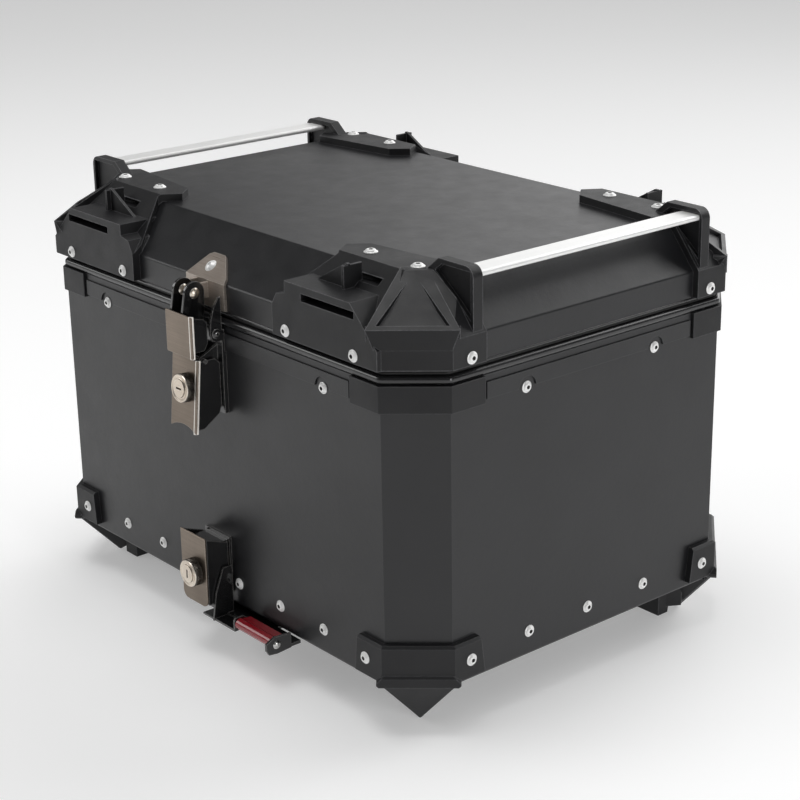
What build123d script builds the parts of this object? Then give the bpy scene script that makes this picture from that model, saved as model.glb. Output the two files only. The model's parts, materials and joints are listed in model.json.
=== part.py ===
from build123d import *
import math
import os

# Aluminium top case for a motorcycle. Millimetres, +Z up, latch side towards -Y.
# The origin is the centre of the rack face, under the base plate and the feet. The
# pieces are drawn with the tub's floor at FLOOR_Z and lifted by LIFT when finished.

# ---- driving dimensions ----
HALF_W = 215.0  # half width over the corner collars
HALF_D = 157.5  # half depth over the corner collars
CUT_X = 30.4  # corner cut along the width
CUT_Y = 33.8  # corner cut along the depth
FOOT_H = 11.0  # the tub's lower side edges, where its walls meet the feet
FLOOR_Z = 8.5  # the underside of the tub's floor
LIFT = 24.1  # the drawing's zero above the rack face
TUB_TOP = 215.6
SHEET = 1.6
TUB_INSET = 2.4  # tub wall inside the collars
LID_INSET = 3.3  # lid skirt inside the collars
SKIRT_LOW = 226.0
CREASE = 244.0
LID_TOP = 273.0
TOP_HALF_W = 187.7
TOP_HALF_D = 119.0
GUARD_T = 5.0
PLATE_TOP = 278.5  # top of the guards' plates on the lid
RIVET_R = 4.6
HINGE_Y = 162.0
HINGE_Z = 223.5
HINGE_X = 52.0
LATCH_X = 3.5
PIN_R = 1.5
RUN = 0.05  # radial running clearance of every hinge pin
RACK_HOLE_R = 3.3
RACK_DX = 150.0
RACK_DY = 100.0

WALL_Y = HALF_D - TUB_INSET
WALL_X = HALF_W - TUB_INSET
SKIRT_Y = HALF_D - LID_INSET
SKIRT_X = HALF_W - LID_INSET
BEVEL_Y = math.atan2(LID_TOP - CREASE, SKIRT_Y - TOP_HALF_D)
BEVEL_X = math.atan2(LID_TOP - CREASE, SKIRT_X - TOP_HALF_W)

parts = {}


def finish(piece, label):
    solid = piece.part.moved(Location((0, 0, LIFT)))
    solid.label = label
    parts[label] = solid


def cut_corner(half_w, half_d, cut_x, cut_y):
    """The eight corners of a rectangle with its corners cut off."""
    return [
        (-half_w + cut_x, -half_d),
        (half_w - cut_x, -half_d),
        (half_w, -half_d + cut_y),
        (half_w, half_d - cut_y),
        (half_w - cut_x, half_d),
        (-half_w + cut_x, half_d),
        (-half_w, half_d - cut_y),
        (-half_w, -half_d + cut_y),
    ]


def case_plan(inset):
    """The case's plan, moved inwards all round, so that every wall stays parallel."""
    diagonal = math.hypot(CUT_X, CUT_Y)
    cut_x = CUT_X - inset * (1 + (CUT_X - diagonal) / CUT_Y)
    return cut_corner(HALF_W - inset, HALF_D - inset, cut_x, cut_x * CUT_Y / CUT_X)


def top_plan(grow):
    """The lid's flat top, moved outwards with its bevels by grow."""
    rise = grow[2]
    half_w = TOP_HALF_W + grow[0] - rise / math.tan(BEVEL_X)
    half_d = TOP_HALF_D + grow[1] - rise / math.tan(BEVEL_Y)
    return cut_corner(half_w, half_d, 22.0, 25.0)


def polygon_prism(points, low, high):
    """A prism over a plan polygon, kept out of any open builder."""
    with BuildPart(mode=Mode.PRIVATE) as prism:
        with BuildSketch(Plane.XY.offset(low)):
            Polygon(*points, align=None)
        extrude(amount=high - low)
    return prism.part


def lid_solid(skin, low):
    """The lid's outer form as a solid, thickened outwards by skin."""
    crease_y = skin * (1 / math.sin(BEVEL_Y) - 1 / math.tan(BEVEL_Y)) * math.tan(BEVEL_Y)
    out_x = skin / math.sin(BEVEL_X)
    out_y = skin / math.sin(BEVEL_Y)
    rise = skin * 1.1 if skin > 0 else skin
    crease = CREASE + crease_y
    with BuildPart(mode=Mode.PRIVATE) as form:
        with BuildSketch(Plane.XY.offset(low)):
            Polygon(*case_plan(LID_INSET - skin), align=None)
        extrude(amount=crease - low)
        with BuildSketch(Plane.XY.offset(crease)):
            Polygon(*case_plan(LID_INSET - skin), align=None)
        with BuildSketch(Plane.XY.offset(LID_TOP + rise)):
            Polygon(*top_plan((out_x, out_y, rise)), align=None)
        loft(ruled=True)
    return form.part


def ring(outer, inner, low, high, edge_radius=0.0):
    """A flat frame between two insets of the case plan, its outer edges rounded."""
    with BuildPart(mode=Mode.PRIVATE) as frame:
        with BuildSketch(Plane.XY.offset(low)):
            Polygon(*case_plan(outer), align=None)
        extrude(amount=high - low)
        corners = frame.edges().filter_by(Axis.Z)
        fillet(corners, radius=6.0)
        if edge_radius:
            rims = frame.edges().filter_by(lambda edge: edge.center().Z in (low, high))
            fillet(rims, radius=edge_radius)
        with BuildSketch(Plane.XY.offset(low)):
            Polygon(*case_plan(inner), align=None)
        extrude(amount=high - low, mode=Mode.SUBTRACT)
    return frame.part


def dome(radius, height):
    """A low rivet or screw head, flat side at the origin, domed towards +Z."""
    ball = (radius * radius + height * height) / (2 * height)
    with BuildPart(mode=Mode.PRIVATE) as head:
        with BuildSketch(Plane.XZ):
            with BuildLine():
                Line((0, 0), (radius, 0))
                ThreePointArc((radius, 0), dome_point(radius, height, ball), (0, height))
                Line((0, height), (0, 0))
            make_face()
        revolve(axis=Axis.Z)
    return head.part


def dome_point(radius, height, ball):
    half_angle = math.asin(radius / ball) / 2
    return (ball * math.sin(half_angle), height - ball + ball * math.cos(half_angle))


def heads(label, spots, radius, height, socket):
    """One node of identical heads. Each spot is a point and the way its head faces."""
    head = rivet_head(radius, height, socket)
    with BuildPart() as group:
        for point, facing in spots:
            add(Plane(origin=point, z_dir=facing) * head)
    finish(group, label)


def rivet_head(radius, height, socket):
    with BuildPart(mode=Mode.PRIVATE) as head:
        add(dome(radius, height))
        with Locations((0, 0, height)):
            Cylinder(socket, height, mode=Mode.SUBTRACT)
    return head.part


def single(solid, label):
    """A node made of one ready solid."""
    with BuildPart() as piece:
        add(solid)
    finish(piece, label)


def four_corners(master, stem):
    """The front right piece and its mirror images at the other three corners."""
    left = mirror(master, about=Plane.YZ, mode=Mode.PRIVATE)
    single(master, f"{stem}_front_right")
    single(left, f"{stem}_front_left")
    single(mirror(master, about=Plane.XZ, mode=Mode.PRIVATE), f"{stem}_rear_right")
    single(mirror(left, about=Plane.XZ, mode=Mode.PRIVATE), f"{stem}_rear_left")


def box_between(low, high, mode=Mode.ADD):
    """A box from its lowest corner to its highest, inside the open builder."""
    size = [b - a for a, b in zip(low, high)]
    with Locations(tuple((a + b) / 2 for a, b in zip(low, high))):
        return Box(*size, mode=mode)


def side_plate(profile, start, thickness):
    """A plate in the Y-Z plane, from x = start, over a (y, z) outline."""
    with BuildPart(mode=Mode.PRIVATE) as plate:
        with BuildSketch(Plane.YZ.offset(start)):
            Polygon(*profile, align=None)
        extrude(amount=thickness)
    return plate.part


def cross_rod(radius, start, length, y, z):
    """A rod along X."""
    with BuildPart(mode=Mode.PRIVATE) as rod:
        with BuildSketch(Plane.YZ.offset(start)):
            with Locations((y, z)):
                Circle(radius)
        extrude(amount=length)
    return rod.part


# ---- tub ----
rack_spots = [(sx * RACK_DX / 2, sy * RACK_DY / 2) for sx in (-1, 1) for sy in (-1, 1)]
fixing_spots = [(sx * 105.0, sy * 62.0) for sx in (-1, 1) for sy in (-1, 1)]

with BuildPart() as tub_shell:
    with BuildSketch(Plane.XY.offset(FLOOR_Z)):
        Polygon(*case_plan(TUB_INSET), align=None)
    extrude(amount=TUB_TOP - FLOOR_Z)
    fillet(tub_shell.edges().group_by(Axis.Z)[0], radius=3.0)
    with BuildSketch(Plane.XY.offset(FLOOR_Z + SHEET)):
        Polygon(*case_plan(TUB_INSET + SHEET), align=None)
    extrude(amount=TUB_TOP - FLOOR_Z - SHEET, mode=Mode.SUBTRACT)
    with Locations(*[(x, y, FLOOR_Z) for x, y in rack_spots]):
        Cylinder(RACK_HOLE_R, 4 * SHEET, mode=Mode.SUBTRACT)
finish(tub_shell, "tub_shell")

# ---- floor mat, with round windows over the bolts ----
MAT_LOW = FLOOR_Z + SHEET
MAT_T = 3.0
with BuildPart() as floor_mat:
    with BuildSketch(Plane.XY.offset(MAT_LOW)):
        Polygon(*case_plan(TUB_INSET + SHEET + 3.0), align=None)
        with Locations(*rack_spots, *fixing_spots):
            Circle(9.0, mode=Mode.SUBTRACT)
    extrude(amount=MAT_T)
finish(floor_mat, "floor_mat")

# ---- base plate under the tub: a tray on the rack, with a boss round every bolt ----
BASE_HALF_X = 135.0
BASE_HALF_Y = 88.0
BASE_FLOOR_T = 7.0
BASE_WALL = 4.0
base_outline = cut_corner(BASE_HALF_X, BASE_HALF_Y, 26.0, 26.0)
base_pocket = cut_corner(BASE_HALF_X - BASE_WALL, BASE_HALF_Y - BASE_WALL, 24.5, 24.5)
with BuildPart() as base_plate:
    with BuildSketch(Plane.XY.offset(-LIFT)):
        Polygon(*base_outline, align=None)
    extrude(amount=LIFT + FLOOR_Z)
    fillet(base_plate.edges().filter_by(Axis.Z), radius=8.0)
    chamfer(base_plate.edges().group_by(Axis.Z)[0], length=1.5)
    with BuildSketch(Plane.XY.offset(BASE_FLOOR_T - LIFT)):
        Polygon(*base_pocket, align=None)
        with Locations(*rack_spots, *fixing_spots):
            Circle(9.0, mode=Mode.SUBTRACT)
    extrude(amount=LIFT + FLOOR_Z - BASE_FLOOR_T, mode=Mode.SUBTRACT)
    with Locations(*[(x, y, -LIFT) for x, y in rack_spots]):
        Cylinder(RACK_HOLE_R, 4 * LIFT, mode=Mode.SUBTRACT)
finish(base_plate, "base_plate")

heads("base_screws", [((x, y, MAT_LOW), (0, 0, 1)) for x, y in fixing_spots], 6.0, 2.4, 2.0)

# ---- tub rim, seal and lid frame ----
RIM_TOP = 221.4
SEAL_TOP = 223.4
with BuildPart() as tub_rim:
    add(ring(1.2, 10.0, TUB_TOP, RIM_TOP, 2.6))
finish(tub_rim, "tub_rim")

with BuildPart() as rim_seal:
    add(ring(4.5, 8.5, RIM_TOP, SEAL_TOP, 0.8))
finish(rim_seal, "rim_seal")

with BuildPart() as lid_frame:
    add(ring(2.5, 11.0, SEAL_TOP + 0.4, SKIRT_LOW, 0.9))
finish(lid_frame, "lid_frame")

# ---- collars: raised corner sections, with lower strips between them ----
COLLAR_LOW = 197.4
SLOT_X = 156.3  # the collars end at a narrow slot on the front and back
SLOT_Y = 95.6  # and on the sides
SLOT_W = 2.0
STRIP_LOW = 199.6
STRIP_TOP = 211.0
STRIP_T = 1.2

collar_blank = polygon_prism(case_plan(0), COLLAR_LOW, TUB_TOP)
tub_core = polygon_prism(case_plan(TUB_INSET), 0, LID_TOP)
with BuildPart(mode=Mode.PRIVATE) as collar:
    add(collar_blank)
    add(tub_core, mode=Mode.SUBTRACT)
    box_between((SLOT_X, -HALF_D, 0), (HALF_W, -SLOT_Y, LID_TOP), mode=Mode.INTERSECT)
four_corners(collar.part, "collar")

STRIP_RIVET_X = 127.2
STRIP_RIVET_Y = 59.0
STRIP_RIVET_Z = 199.4
RECESS_R = 7.5


def strip(label, length, wall, turn, rivets):
    """A pressed strip on one wall, with a half-moon cut round each of its rivets."""
    with BuildPart() as band:
        frame = Plane(origin=(0, 0, 0), x_dir=turn[0], z_dir=turn[1]).offset(wall)
        with BuildSketch(frame):
            with Locations((0, (STRIP_LOW + STRIP_TOP) / 2)):
                Rectangle(2 * length, STRIP_TOP - STRIP_LOW)
            with Locations(*[(side * rivets, STRIP_RIVET_Z) for side in (-1, 1)]):
                Circle(RECESS_R, mode=Mode.SUBTRACT)
        extrude(amount=STRIP_T)
    finish(band, label)


strip("strip_front", SLOT_X - SLOT_W, WALL_Y, ((1, 0, 0), (0, -1, 0)), STRIP_RIVET_X)
strip("strip_rear", SLOT_X - SLOT_W, WALL_Y, ((-1, 0, 0), (0, 1, 0)), STRIP_RIVET_X)
strip("strip_right", SLOT_Y - SLOT_W, WALL_X, ((0, 1, 0), (1, 0, 0)), STRIP_RIVET_Y)
strip("strip_left", SLOT_Y - SLOT_W, WALL_X, ((0, -1, 0), (-1, 0, 0)), STRIP_RIVET_Y)


def wall_spots(half_x_list, half_y_list, z, out=0.0):
    """Rivet places on all four walls: pairs at +-x on front and back, +-y on the sides."""
    spots = []
    for x in half_x_list:
        for sx in (-1, 1):
            for sy in (-1, 1):
                spots.append(((sx * x, sy * (WALL_Y + out), z), (0, sy, 0)))
    for y in half_y_list:
        for sy in (-1, 1) if y else (1,):
            for sx in (-1, 1):
                spots.append(((sx * (WALL_X + out), sy * y, z), (sx, 0, 0)))
    return spots


heads("strip_rivets", wall_spots([STRIP_RIVET_X], [STRIP_RIVET_Y], STRIP_RIVET_Z), 4.4, 2.2, 1.3)
ROW_Z = FOOT_H + 15.5
heads("tub_rivets", wall_spots([24.0, 72.0, 120.0], [0.0, 54.8], ROW_Z), RIVET_R, 2.2, 1.4)

# ---- feet: corner brackets over a leaning three-cornered block ----
FOOT_TOP = FOOT_H + 29.0
FOOT_LEG_LOW = FOOT_H + 3.0
FOOT_T = 5.0
CORNER_X = HALF_W - CUT_X / 2
CORNER_Y = HALF_D - CUT_Y / 2
FOOT_HALF = 27.5  # half width of the leaning block at its top
FOOT_EDGE = 1.8  # bevel along the block's outer edges
TIP = Vector(184.3, -126.8, -LIFT)
HEEL = [(172, -110), (186, -110), (192, -120), (186, -129), (172, -120)]
PAD = [(160, -102), (186, -102), (186, -112), (177, -123.5), (175, -125.5), (160, -125.5)]
SHOULDER = [(-26, -2), (26, -2), (27.5, -0.5), (27.5, 1.2), (23, 5.7), (-23, 5.7), (-27.5, 1.2), (-27.5, -0.5)]
foot_blank = polygon_prism(case_plan(TUB_INSET - FOOT_T), FOOT_LEG_LOW, FOOT_TOP)
tub_solid = polygon_prism(case_plan(TUB_INSET), FLOOR_Z, LID_TOP)
along_chamfer = Vector(CUT_X, CUT_Y, 0).normalized()
out_chamfer = Vector(CUT_Y, -CUT_X, 0).normalized()
foot_middle = Vector(CORNER_X, -CORNER_Y, FOOT_H + 2.5) + out_chamfer * (FOOT_T - TUB_INSET)
foot_fall = (TIP - foot_middle).normalized()
foot_out = along_chamfer.cross(foot_fall)
foot_out = foot_out if foot_out.dot(out_chamfer) > 0 else foot_out * -1
foot_plane = Plane(origin=foot_middle, x_dir=along_chamfer, z_dir=foot_out)
foot_down = foot_plane.y_dir.dot(foot_fall) * ((TIP - foot_middle).length + 0.66 * FOOT_EDGE)
shoulder_plane = Plane(origin=foot_middle, x_dir=along_chamfer, z_dir=out_chamfer)
shoulder_up = shoulder_plane.y_dir.Z

with BuildPart(mode=Mode.PRIVATE) as foot:
    # the leaning block, its two lower edges bevelled and its tip rounded
    with BuildSketch(foot_plane):
        with BuildLine():
            Polyline((-2.6, 0.95 * foot_down), (-FOOT_HALF, 0), (FOOT_HALF, 0), (2.6, 0.95 * foot_down))
            ThreePointArc((2.6, 0.95 * foot_down), (0, foot_down), (-2.6, 0.95 * foot_down))
        make_face()
    extrude(amount=-24.0)
    front_face = foot.faces().sort_by(lambda face: (face.center() - foot_middle).dot(foot_out))[-1]
    chamfer(front_face.edges(), length=FOOT_EDGE)
    # a raised shoulder along its top
    with BuildSketch(shoulder_plane.offset(-5.0)):
        Polygon(*[(x, y * shoulder_up) for x, y in SHOULDER], align=None)
    extrude(amount=7.0)
    chamfer(foot.edges().filter_by(lambda e: e.center().Z > FOOT_H + 8.0 and e.length > 30), length=1.4)
    # the corner bracket, chamfered along its top
    with BuildPart(mode=Mode.PRIVATE) as legs:
        add(foot_blank)
        chamfer(legs.edges().group_by(Axis.Z)[-1], length=1.8)
        # the legs' ends lean outwards towards the bottom
        with BuildSketch(Plane.XZ.offset(-2 * HALF_D)):
            Polygon((161, FOOT_TOP), (300, FOOT_TOP), (300, 0), (157.5, 0), align=None)
        extrude(amount=4 * HALF_D, mode=Mode.INTERSECT)
        with BuildSketch(Plane.YZ.offset(150)):
            Polygon((-102, FOOT_TOP), (-300, FOOT_TOP), (-300, 0), (-97, 0), align=None)
        extrude(amount=100, mode=Mode.INTERSECT)
    add(legs.part)
    add(tub_solid, mode=Mode.SUBTRACT)

# two of the feet, at opposite corners, stand on a broad pad as well
with BuildPart(mode=Mode.PRIVATE) as padded_foot:
    add(polygon_prism(HEEL, 5.0 - LIFT, FLOOR_Z))
    split(bisect_by=foot_plane.offset(-FOOT_EDGE), keep=Keep.BOTTOM)
    add(foot.part)
    add(polygon_prism(PAD, -LIFT, FLOOR_Z))
single(foot.part, "foot_front_right")
single(mirror(padded_foot.part, about=Plane.YZ, mode=Mode.PRIVATE), "foot_front_left")
single(mirror(padded_foot.part, about=Plane.XZ, mode=Mode.PRIVATE), "foot_rear_right")
plain_left = mirror(foot.part, about=Plane.YZ, mode=Mode.PRIVATE)
single(mirror(plain_left, about=Plane.XZ, mode=Mode.PRIVATE), "foot_rear_left")
heads("foot_rivets", wall_spots([169.6], [110.9], ROW_Z, FOOT_T), RIVET_R, 2.2, 1.4)

# ---- lid shell ----
lid_form = lid_solid(0.0, SKIRT_LOW)
with BuildPart() as lid_shell:
    add(lid_form)
    fillet(lid_shell.edges().filter_by(lambda edge: edge.center().Z > CREASE - 1), radius=2.5)
    add(lid_solid(-SHEET, SKIRT_LOW), mode=Mode.SUBTRACT)
finish(lid_shell, "lid_shell")

# ---- corner guards ----
SHELF_LOW = 259.5
SHELF_TOP = 264.5
LIP_TOP = 254.5
BLOCK_Y = SKIRT_Y + GUARD_T + 1.0
GUARD_PLAN = [
    (82, -170),
    (82, -152),
    (104, -122),
    (94, -107.5),
    (105, -95),
    (182, -86),
    (190, -96.5),
    (225, -96.5),
    (225, -170),
]
BLOCK = [
    (82, SKIRT_LOW),
    (82, CREASE + 2),
    (87, LIP_TOP),
    (96, LIP_TOP + 2),
    (96, SHELF_TOP),
    (162, SHELF_TOP),
    (187.5, 239),
    (187.5, SKIRT_LOW),
]
BRACKET_Y = 107.0
BRACKET_T = 8.0
BRACKET = [(196, 250), (212, 240), (215.6, 243), (215.6, 287), (184, 287), (173.5, 278.5), (172, 270)]
POCKET = [(203, 262), (213.4, 253), (213.4, 283.8), (187, 283.8), (180.5, 279.0)]
apex = Vector(169.0, -113.0, 279.5)
frame_foot = Vector(200.5, -142.5, 252.0)
down_slope = (frame_foot - apex).normalized()
frame_out = along_chamfer.cross(down_slope)
frame_out = frame_out if frame_out.Z > 0 else frame_out * -1
frame_plane = Plane(origin=frame_foot, x_dir=along_chamfer, z_dir=frame_out)
FRAME_LEN = (frame_foot - apex).length
up_slope = frame_plane.y_dir.dot(down_slope * -1)
FRAME_T = 12.0



def skirt_corners(half_width):
    """A plan rectangle behind the chamfer's outer face, from the frame's foot."""
    wide = along_chamfer * half_width
    deep = out_chamfer * -9.0
    return [wide * -1, wide, wide + deep, deep - wide]


with BuildPart(mode=Mode.PRIVATE) as corner_frame:
    with BuildSketch(frame_plane):
        Polygon(
            (-29, 0),
            (29, 0),
            (8, up_slope * FRAME_LEN),
            (-8, up_slope * FRAME_LEN),
            align=None,
        )
    extrude(amount=-FRAME_T)
    with BuildSketch(frame_plane):
        Polygon((-22.5, up_slope * 3.5), (22.5, up_slope * 3.5), (0, up_slope * 46), align=None)
    extrude(amount=-3.0, taper=12, mode=Mode.SUBTRACT)
    # the corner below it, narrowing down to the chamfer
    with BuildSketch(Plane(origin=frame_foot, x_dir=(1, 0, 0), z_dir=(0, 0, -1))):
        Polygon(*[(point.X, -point.Y) for point in skirt_corners(29.0)], align=None)
    with BuildSketch(Plane(origin=frame_foot - Vector(0, 0, 13), x_dir=(1, 0, 0), z_dir=(0, 0, -1))):
        Polygon(*[(point.X, -point.Y) for point in skirt_corners(24.0)], align=None)
    loft(ruled=True)

lid_block = lid_solid(0.0, SKIRT_LOW - 10)
with BuildPart(mode=Mode.PRIVATE) as guard:
    add(lid_solid(GUARD_T, SKIRT_LOW))
    add(polygon_prism(GUARD_PLAN, SKIRT_LOW, PLATE_TOP), mode=Mode.INTERSECT)
    with BuildSketch(Plane.XZ.offset(125)):
        Polygon(*BLOCK, align=None)
    extrude(amount=BLOCK_Y - 125)
    add(corner_frame.part)
    with BuildSketch(Plane.XZ.offset(BRACKET_Y - BRACKET_T)):
        Polygon(*BRACKET, align=None)
    extrude(amount=BRACKET_T)
    fillet(guard.edges().filter_by(lambda e: e.center().Z > 286.5 and e.center().X > 215), radius=7.0)
    add(lid_block, mode=Mode.SUBTRACT)
    # strap slot under the shelf
    box_between((113, -170, LIP_TOP), (166, -146.5, SHELF_LOW), mode=Mode.SUBTRACT)
    # narrow slot under the top plate
    box_between((118, -150, 267.8), (156, -112, 271.8), mode=Mode.SUBTRACT)
    # fin on the shelf, with a rib behind its upright edge
    with BuildSketch(Plane.XZ.offset(139.5)):
        Polygon((103, SHELF_TOP - 2), (135.5, 280.5), (138.0, 280.5), (138.0, SHELF_TOP - 2), align=None)
    extrude(amount=2.0)
    box_between((136.0, -145.0, SHELF_TOP - 2), (138.0, -130, 279.5))
    # seat of the outer plate screw
    with Locations((167.0, -109.0, PLATE_TOP + 3.0)):
        Cylinder(6.0, 6.0, mode=Mode.SUBTRACT)
    # pockets on both faces of the rail bracket
    for start in (BRACKET_Y - BRACKET_T, BRACKET_Y - 3.0):
        with BuildSketch(Plane.XZ.offset(start)):
            Polygon(*POCKET, align=None)
        extrude(amount=3.0, mode=Mode.SUBTRACT)
four_corners(guard.part, "guard")

GUARD_RIVET_Z = FOOT_H + 220.1
front_rivets = [
    ((sx * x, sy * BLOCK_Y, GUARD_RIVET_Z), (0, sy, 0))
    for x in (95.7, 164.8)
    for sx in (-1, 1)
    for sy in (-1, 1)
]
side_rivets = [
    ((sx * (SKIRT_X + GUARD_T), sy * 109.0, GUARD_RIVET_Z), (sx, 0, 0))
    for sx in (-1, 1)
    for sy in (-1, 1)
]
heads("guard_rivets", front_rivets + side_rivets, RIVET_R, 2.2, 1.4)
plate_screws = [
    ((sx * x, sy * 109.0, PLATE_TOP), (0, 0, 1))
    for x in (121.0, 167.0)
    for sx in (-1, 1)
    for sy in (-1, 1)
]
heads("guard_screws", plate_screws, 5.2, 2.4, 1.9)

# ---- rails: flat bars between the brackets ----
RAIL_IN = 195.2
RAIL_W = 18.0
RAIL_LOW = 279.0
RAIL_T = 4.0
RAIL_END = BRACKET_Y - BRACKET_T + 3.0
with BuildPart(mode=Mode.PRIVATE) as rail:
    with BuildSketch(Plane.XZ.offset(-RAIL_END)):
        with Locations((RAIL_IN + RAIL_W / 2, RAIL_LOW + RAIL_T / 2)):
            SlotOverall(RAIL_W, RAIL_T)
    extrude(amount=2 * RAIL_END)
single(rail.part, "rail_right")
single(mirror(rail.part, about=Plane.YZ, mode=Mode.PRIVATE), "rail_left")

# ---- rear hinges ----
LEAF_HALF = 20.0
KNUCKLE_HALF = 8.0
KNUCKLE_GAP = 0.4
KNUCKLE_R = 4.0
HINGE_PIN_R = 2.0
LEAF_T = 2.0


def hinge(side, name):
    centre = side * HINGE_X
    back = WALL_Y + STRIP_T
    with BuildPart() as fixed_leaf:
        box_between((centre - LEAF_HALF, back, STRIP_LOW + 0.4), (centre + LEAF_HALF, back + LEAF_T, 219))
        arm = [(back, 212), (back + LEAF_T, 212), (HINGE_Y + 2, 220.2), (HINGE_Y - 2, HINGE_Z)]
        add(side_plate(arm, centre - KNUCKLE_HALF, 2 * KNUCKLE_HALF))
        add(cross_rod(KNUCKLE_R, centre - KNUCKLE_HALF, 2 * KNUCKLE_HALF, HINGE_Y, HINGE_Z))
        add(cross_rod(HINGE_PIN_R, centre - 30, 60, HINGE_Y, HINGE_Z), mode=Mode.SUBTRACT)
    finish(fixed_leaf, f"hinge_base_{name}")

    with BuildPart() as lid_leaf:
        box_between((centre - LEAF_HALF, SKIRT_Y, 229), (centre + LEAF_HALF, SKIRT_Y + LEAF_T, 243))
        arm = [(SKIRT_Y + 1, 232), (SKIRT_Y + 1, 227.4), (HINGE_Y - 2.5, 222), (HINGE_Y + 2.5, 226.4)]
        length = LEAF_HALF - KNUCKLE_HALF - KNUCKLE_GAP
        for start in (centre - LEAF_HALF, centre + KNUCKLE_HALF + KNUCKLE_GAP):
            add(side_plate(arm, start, length))
            add(cross_rod(KNUCKLE_R, start, length, HINGE_Y, HINGE_Z))
        add(cross_rod(HINGE_PIN_R + RUN, centre - 30, 60, HINGE_Y, HINGE_Z), mode=Mode.SUBTRACT)
    finish(lid_leaf, f"hinge_leaf_{name}")
    single(cross_rod(HINGE_PIN_R, centre - LEAF_HALF, 2 * LEAF_HALF, HINGE_Y, HINGE_Z), f"hinge_pin_{name}")


hinge(-1, "left")
hinge(1, "right")
hinge_screws = []
for side in (-1, 1):
    for step in (-12.0, 12.0):
        x = side * HINGE_X + step
        hinge_screws.append(((x, WALL_Y + STRIP_T + LEAF_T, 206.0), (0, 1, 0)))
heads("hinge_base_screws", hinge_screws, 3.6, 1.8, 1.2)
lid_hinge_screws = [((x, SKIRT_Y + LEAF_T, 237.5), facing) for (x, _, _), facing in hinge_screws]
heads("hinge_leaf_screws", lid_hinge_screws, 3.6, 1.8, 1.2)

# ---- front latch: hasp on the lid ----
HASP_T = 2.0
HASP_TOP = [(-24.5, -1), (-16.2, 17.6), (-12.5, 20.0), (0.4, 20.0), (17.4, 3.7), (19.5, -1)]
EAR_Y = -169.0
EAR_Z = 238.5
EAR_R = 8.0
EAR_T = 2.0
EAR_STARTS = (LATCH_X - 11.5, LATCH_X + 1.5)
EAR_GAP = 0.3
PIVOT_R = 2.0
bevel_plane = Plane(
    origin=(LATCH_X, -SKIRT_Y, CREASE),
    x_dir=(1, 0, 0),
    z_dir=(0, -math.sin(BEVEL_Y), math.cos(BEVEL_Y)),
)
with BuildPart() as hasp_plate:
    box_between(
        (LATCH_X - 24.5, -SKIRT_Y - HASP_T, SKIRT_LOW + 0.2),
        (LATCH_X + 19.5, -SKIRT_Y, CREASE + 0.8),
    )
    with BuildSketch(bevel_plane):
        Polygon(*HASP_TOP, align=None)
    extrude(amount=HASP_T)
    fillet(hasp_plate.edges().filter_by(lambda e: e.center().Z > 246 and e.length < 2.5), radius=2.0)
    for start in EAR_STARTS:
        lug = [(-SKIRT_Y - 1, EAR_Z - 6), (-SKIRT_Y - 1, EAR_Z + 5), (EAR_Y, EAR_Z + 5), (EAR_Y, EAR_Z - 5)]
        add(side_plate(lug, start - EAR_GAP - EAR_T, EAR_T))
        add(cross_rod(5.0, start - EAR_GAP - EAR_T, EAR_T, EAR_Y, EAR_Z))
    add(cross_rod(PIVOT_R, -60, 120, EAR_Y, EAR_Z), mode=Mode.SUBTRACT)
finish(hasp_plate, "hasp_plate")
rivet_point = bevel_plane.from_local_coords((-6.2, 9.5, HASP_T))
heads("hasp_rivet", [(rivet_point, bevel_plane.z_dir)], RIVET_R, 2.2, 1.4)

with BuildPart() as pivot_rivets:
    for start in EAR_STARTS:
        length = 2 * EAR_T + 2 * EAR_GAP
        add(cross_rod(PIVOT_R, start - EAR_GAP - EAR_T, length, EAR_Y, EAR_Z))
        add(Plane(origin=(start + EAR_T + EAR_GAP, EAR_Y, EAR_Z), z_dir=(1, 0, 0)) * dome(3.8, 1.6))
finish(pivot_rivets, "pivot_rivets")

# ---- front latch: cover that hangs from the hasp ----
COVER_HALF = 15.2
COVER_FRONT = -181.0
COVER_LOW = 196.6
COVER_TOP = 226.4
PLATE_T = 1.5
WEB_T = 1.3
WEB_LOW = 201.0
with BuildPart() as cover_plate:
    box_between(
        (LATCH_X - COVER_HALF, COVER_FRONT, COVER_LOW),
        (LATCH_X + COVER_HALF, COVER_FRONT + PLATE_T, COVER_TOP),
    )
    fillet(cover_plate.edges().filter_by(Axis.Y), radius=1.2)
finish(cover_plate, "cover_plate")

with BuildPart() as cover_channel:
    back = COVER_FRONT + PLATE_T
    box_between((LATCH_X - COVER_HALF, back, WEB_LOW), (LATCH_X + COVER_HALF, back + WEB_T, COVER_TOP - 1.5))
    flank = [(back, WEB_LOW), (back, COVER_TOP - 1), (-171, COVER_TOP - 3), (-168, 221), (-168, 206), (-171, WEB_LOW)]
    for start in (LATCH_X - COVER_HALF, LATCH_X + COVER_HALF - WEB_T):
        add(side_plate(flank, start, WEB_T))
    ear = [(back, 211), (back, COVER_TOP - 1), (EAR_Y - 8, EAR_Z), (EAR_Y + 8, EAR_Z), (-161.5, 226), (-164, 211)]
    for start in EAR_STARTS:
        add(side_plate(ear, start, EAR_T))
        add(cross_rod(EAR_R, start, EAR_T, EAR_Y, EAR_Z))
    add(cross_rod(PIVOT_R + RUN, -60, 120, EAR_Y, EAR_Z), mode=Mode.SUBTRACT)
finish(cover_channel, "cover_channel")

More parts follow.
